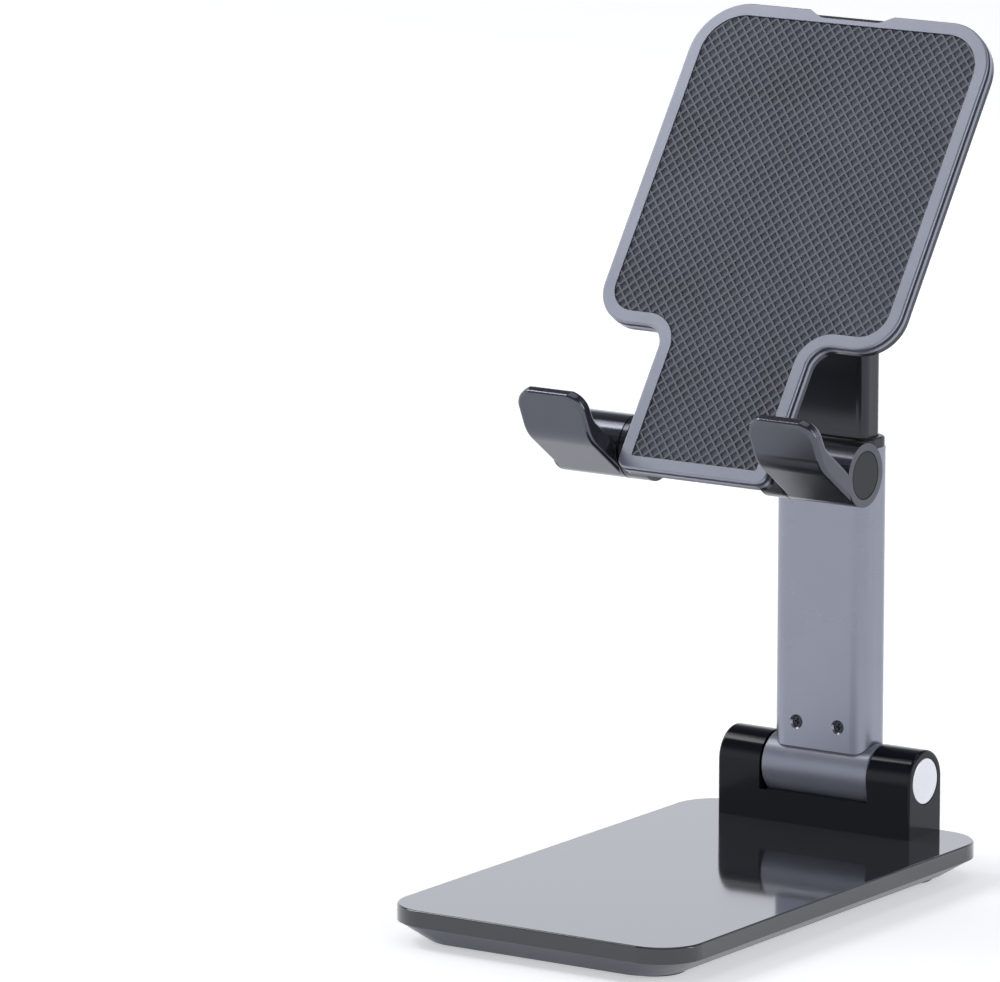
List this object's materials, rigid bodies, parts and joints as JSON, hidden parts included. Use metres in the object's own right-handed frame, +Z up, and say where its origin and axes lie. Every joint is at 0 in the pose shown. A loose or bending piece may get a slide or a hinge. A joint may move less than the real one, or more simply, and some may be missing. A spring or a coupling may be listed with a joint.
{
  "type": "phone stand",
  "caption": "Folding desk stand for a phone: weighted flat base, telescopic arm on a friction hinge, tilting T-shaped tray with a lattice pad and folding hooks.",
  "frame": {"origin": "on the table under the middle of the stand's overall footprint", "axes": "+X across the stand to the user's right, -Y towards the user, +Z up"},
  "size_m": [0.0704, 0.1222, 0.1744],
  "materials": {
    "base_finish": "polished light grey, reflects the hinge above it",
    "cover_plastic": "satin grey",
    "rubber": "soft black",
    "steel": "plain zinc-plated",
    "weight_iron": "unpainted",
    "dark_gloss": "near-black with soft reflections",
    "bright_cap": "bright silver disc",
    "knuckle_grey": "polished mid grey",
    "sleeve_metal": "satin grey with a lavender tone",
    "black_plastic": "satin black",
    "arm_dark": "dark gunmetal, glossy",
    "rim_plastic": "satin grey with a lavender tone",
    "shell_plastic": "satin grey",
    "pad_silicone": "dark grey silicone with a fine raised lattice",
    "hook_gloss": "glossy near-black",
    "liner_silicone": "matte black silicone",
    "cap_dark": "dark grey disc"
  },
  "bodies": {
    "base": {"base_top_shell": "base_finish", "base_bottom_cover": "cover_plastic", "counterweight": "weight_iron", "rubber_feet": "rubber", "base_screws": "steel", "hinge_block": "dark_gloss", "hinge_block_screws": "steel", "base_hinge_pin": "steel", "base_hinge_washers": "steel", "base_hinge_cap_right": "bright_cap", "base_hinge_cap_left": "bright_cap"},
    "lower_arm": {"arm_knuckle": "knuckle_grey", "stop_tab": "black_plastic", "arm_sleeve": "sleeve_metal", "sleeve_screws": "steel", "sleeve_collar": "black_plastic"},
    "upper_arm": {"inner_arm": "arm_dark", "slide_shoe": "black_plastic", "slide_spring": "steel", "arm_head": "dark_gloss"},
    "tray": {"tray_frame": "rim_plastic", "tray_pad": "pad_silicone", "tray_shell": "shell_plastic", "tray_hinge_pin": "steel", "tray_hinge_washers": "steel", "tray_screws": "steel", "tray_ear_cap_right": "shell_plastic", "tray_ear_cap_left": "shell_plastic", "hook_pin_right": "steel", "hook_pin_left": "steel", "hook_washers": "steel"},
    "right_hook": {"hook_right": "hook_gloss", "hook_liner_right": "liner_silicone", "hook_cap_right": "cap_dark"},
    "left_hook": {"hook_left": "hook_gloss", "hook_liner_left": "liner_silicone", "hook_cap_left": "cap_dark"}
  },
  "joints": [
    {"name": "base_fold", "type": "hinge", "parent": "base", "child": "lower_arm", "pos_m": [0, 0.05155, 0.0191], "axis": [1, 0, 0], "range_deg": [0, 55]},
    {"name": "arm_slide", "type": "slide", "parent": "lower_arm", "child": "upper_arm", "axis": [0, 0, -1], "range_m": [0, 0.0413]},
    {"name": "tray_tilt", "type": "hinge", "parent": "upper_arm", "child": "tray", "pos_m": [0, 0.05155, 0.1466], "axis": [1, 0, 0], "range_deg": [-54.7, 35.3]},
    {"name": "hook_right_fold", "type": "hinge", "parent": "tray", "child": "right_hook", "pos_m": [0, 0.00709, 0.09108], "axis": [-1, 0, 0], "range_deg": [0, 90]},
    {"name": "hook_left_fold", "type": "hinge", "parent": "tray", "child": "left_hook", "pos_m": [0, 0.00709, 0.09108], "axis": [-1, 0, 0], "range_deg": [0, 90]}
  ]
}
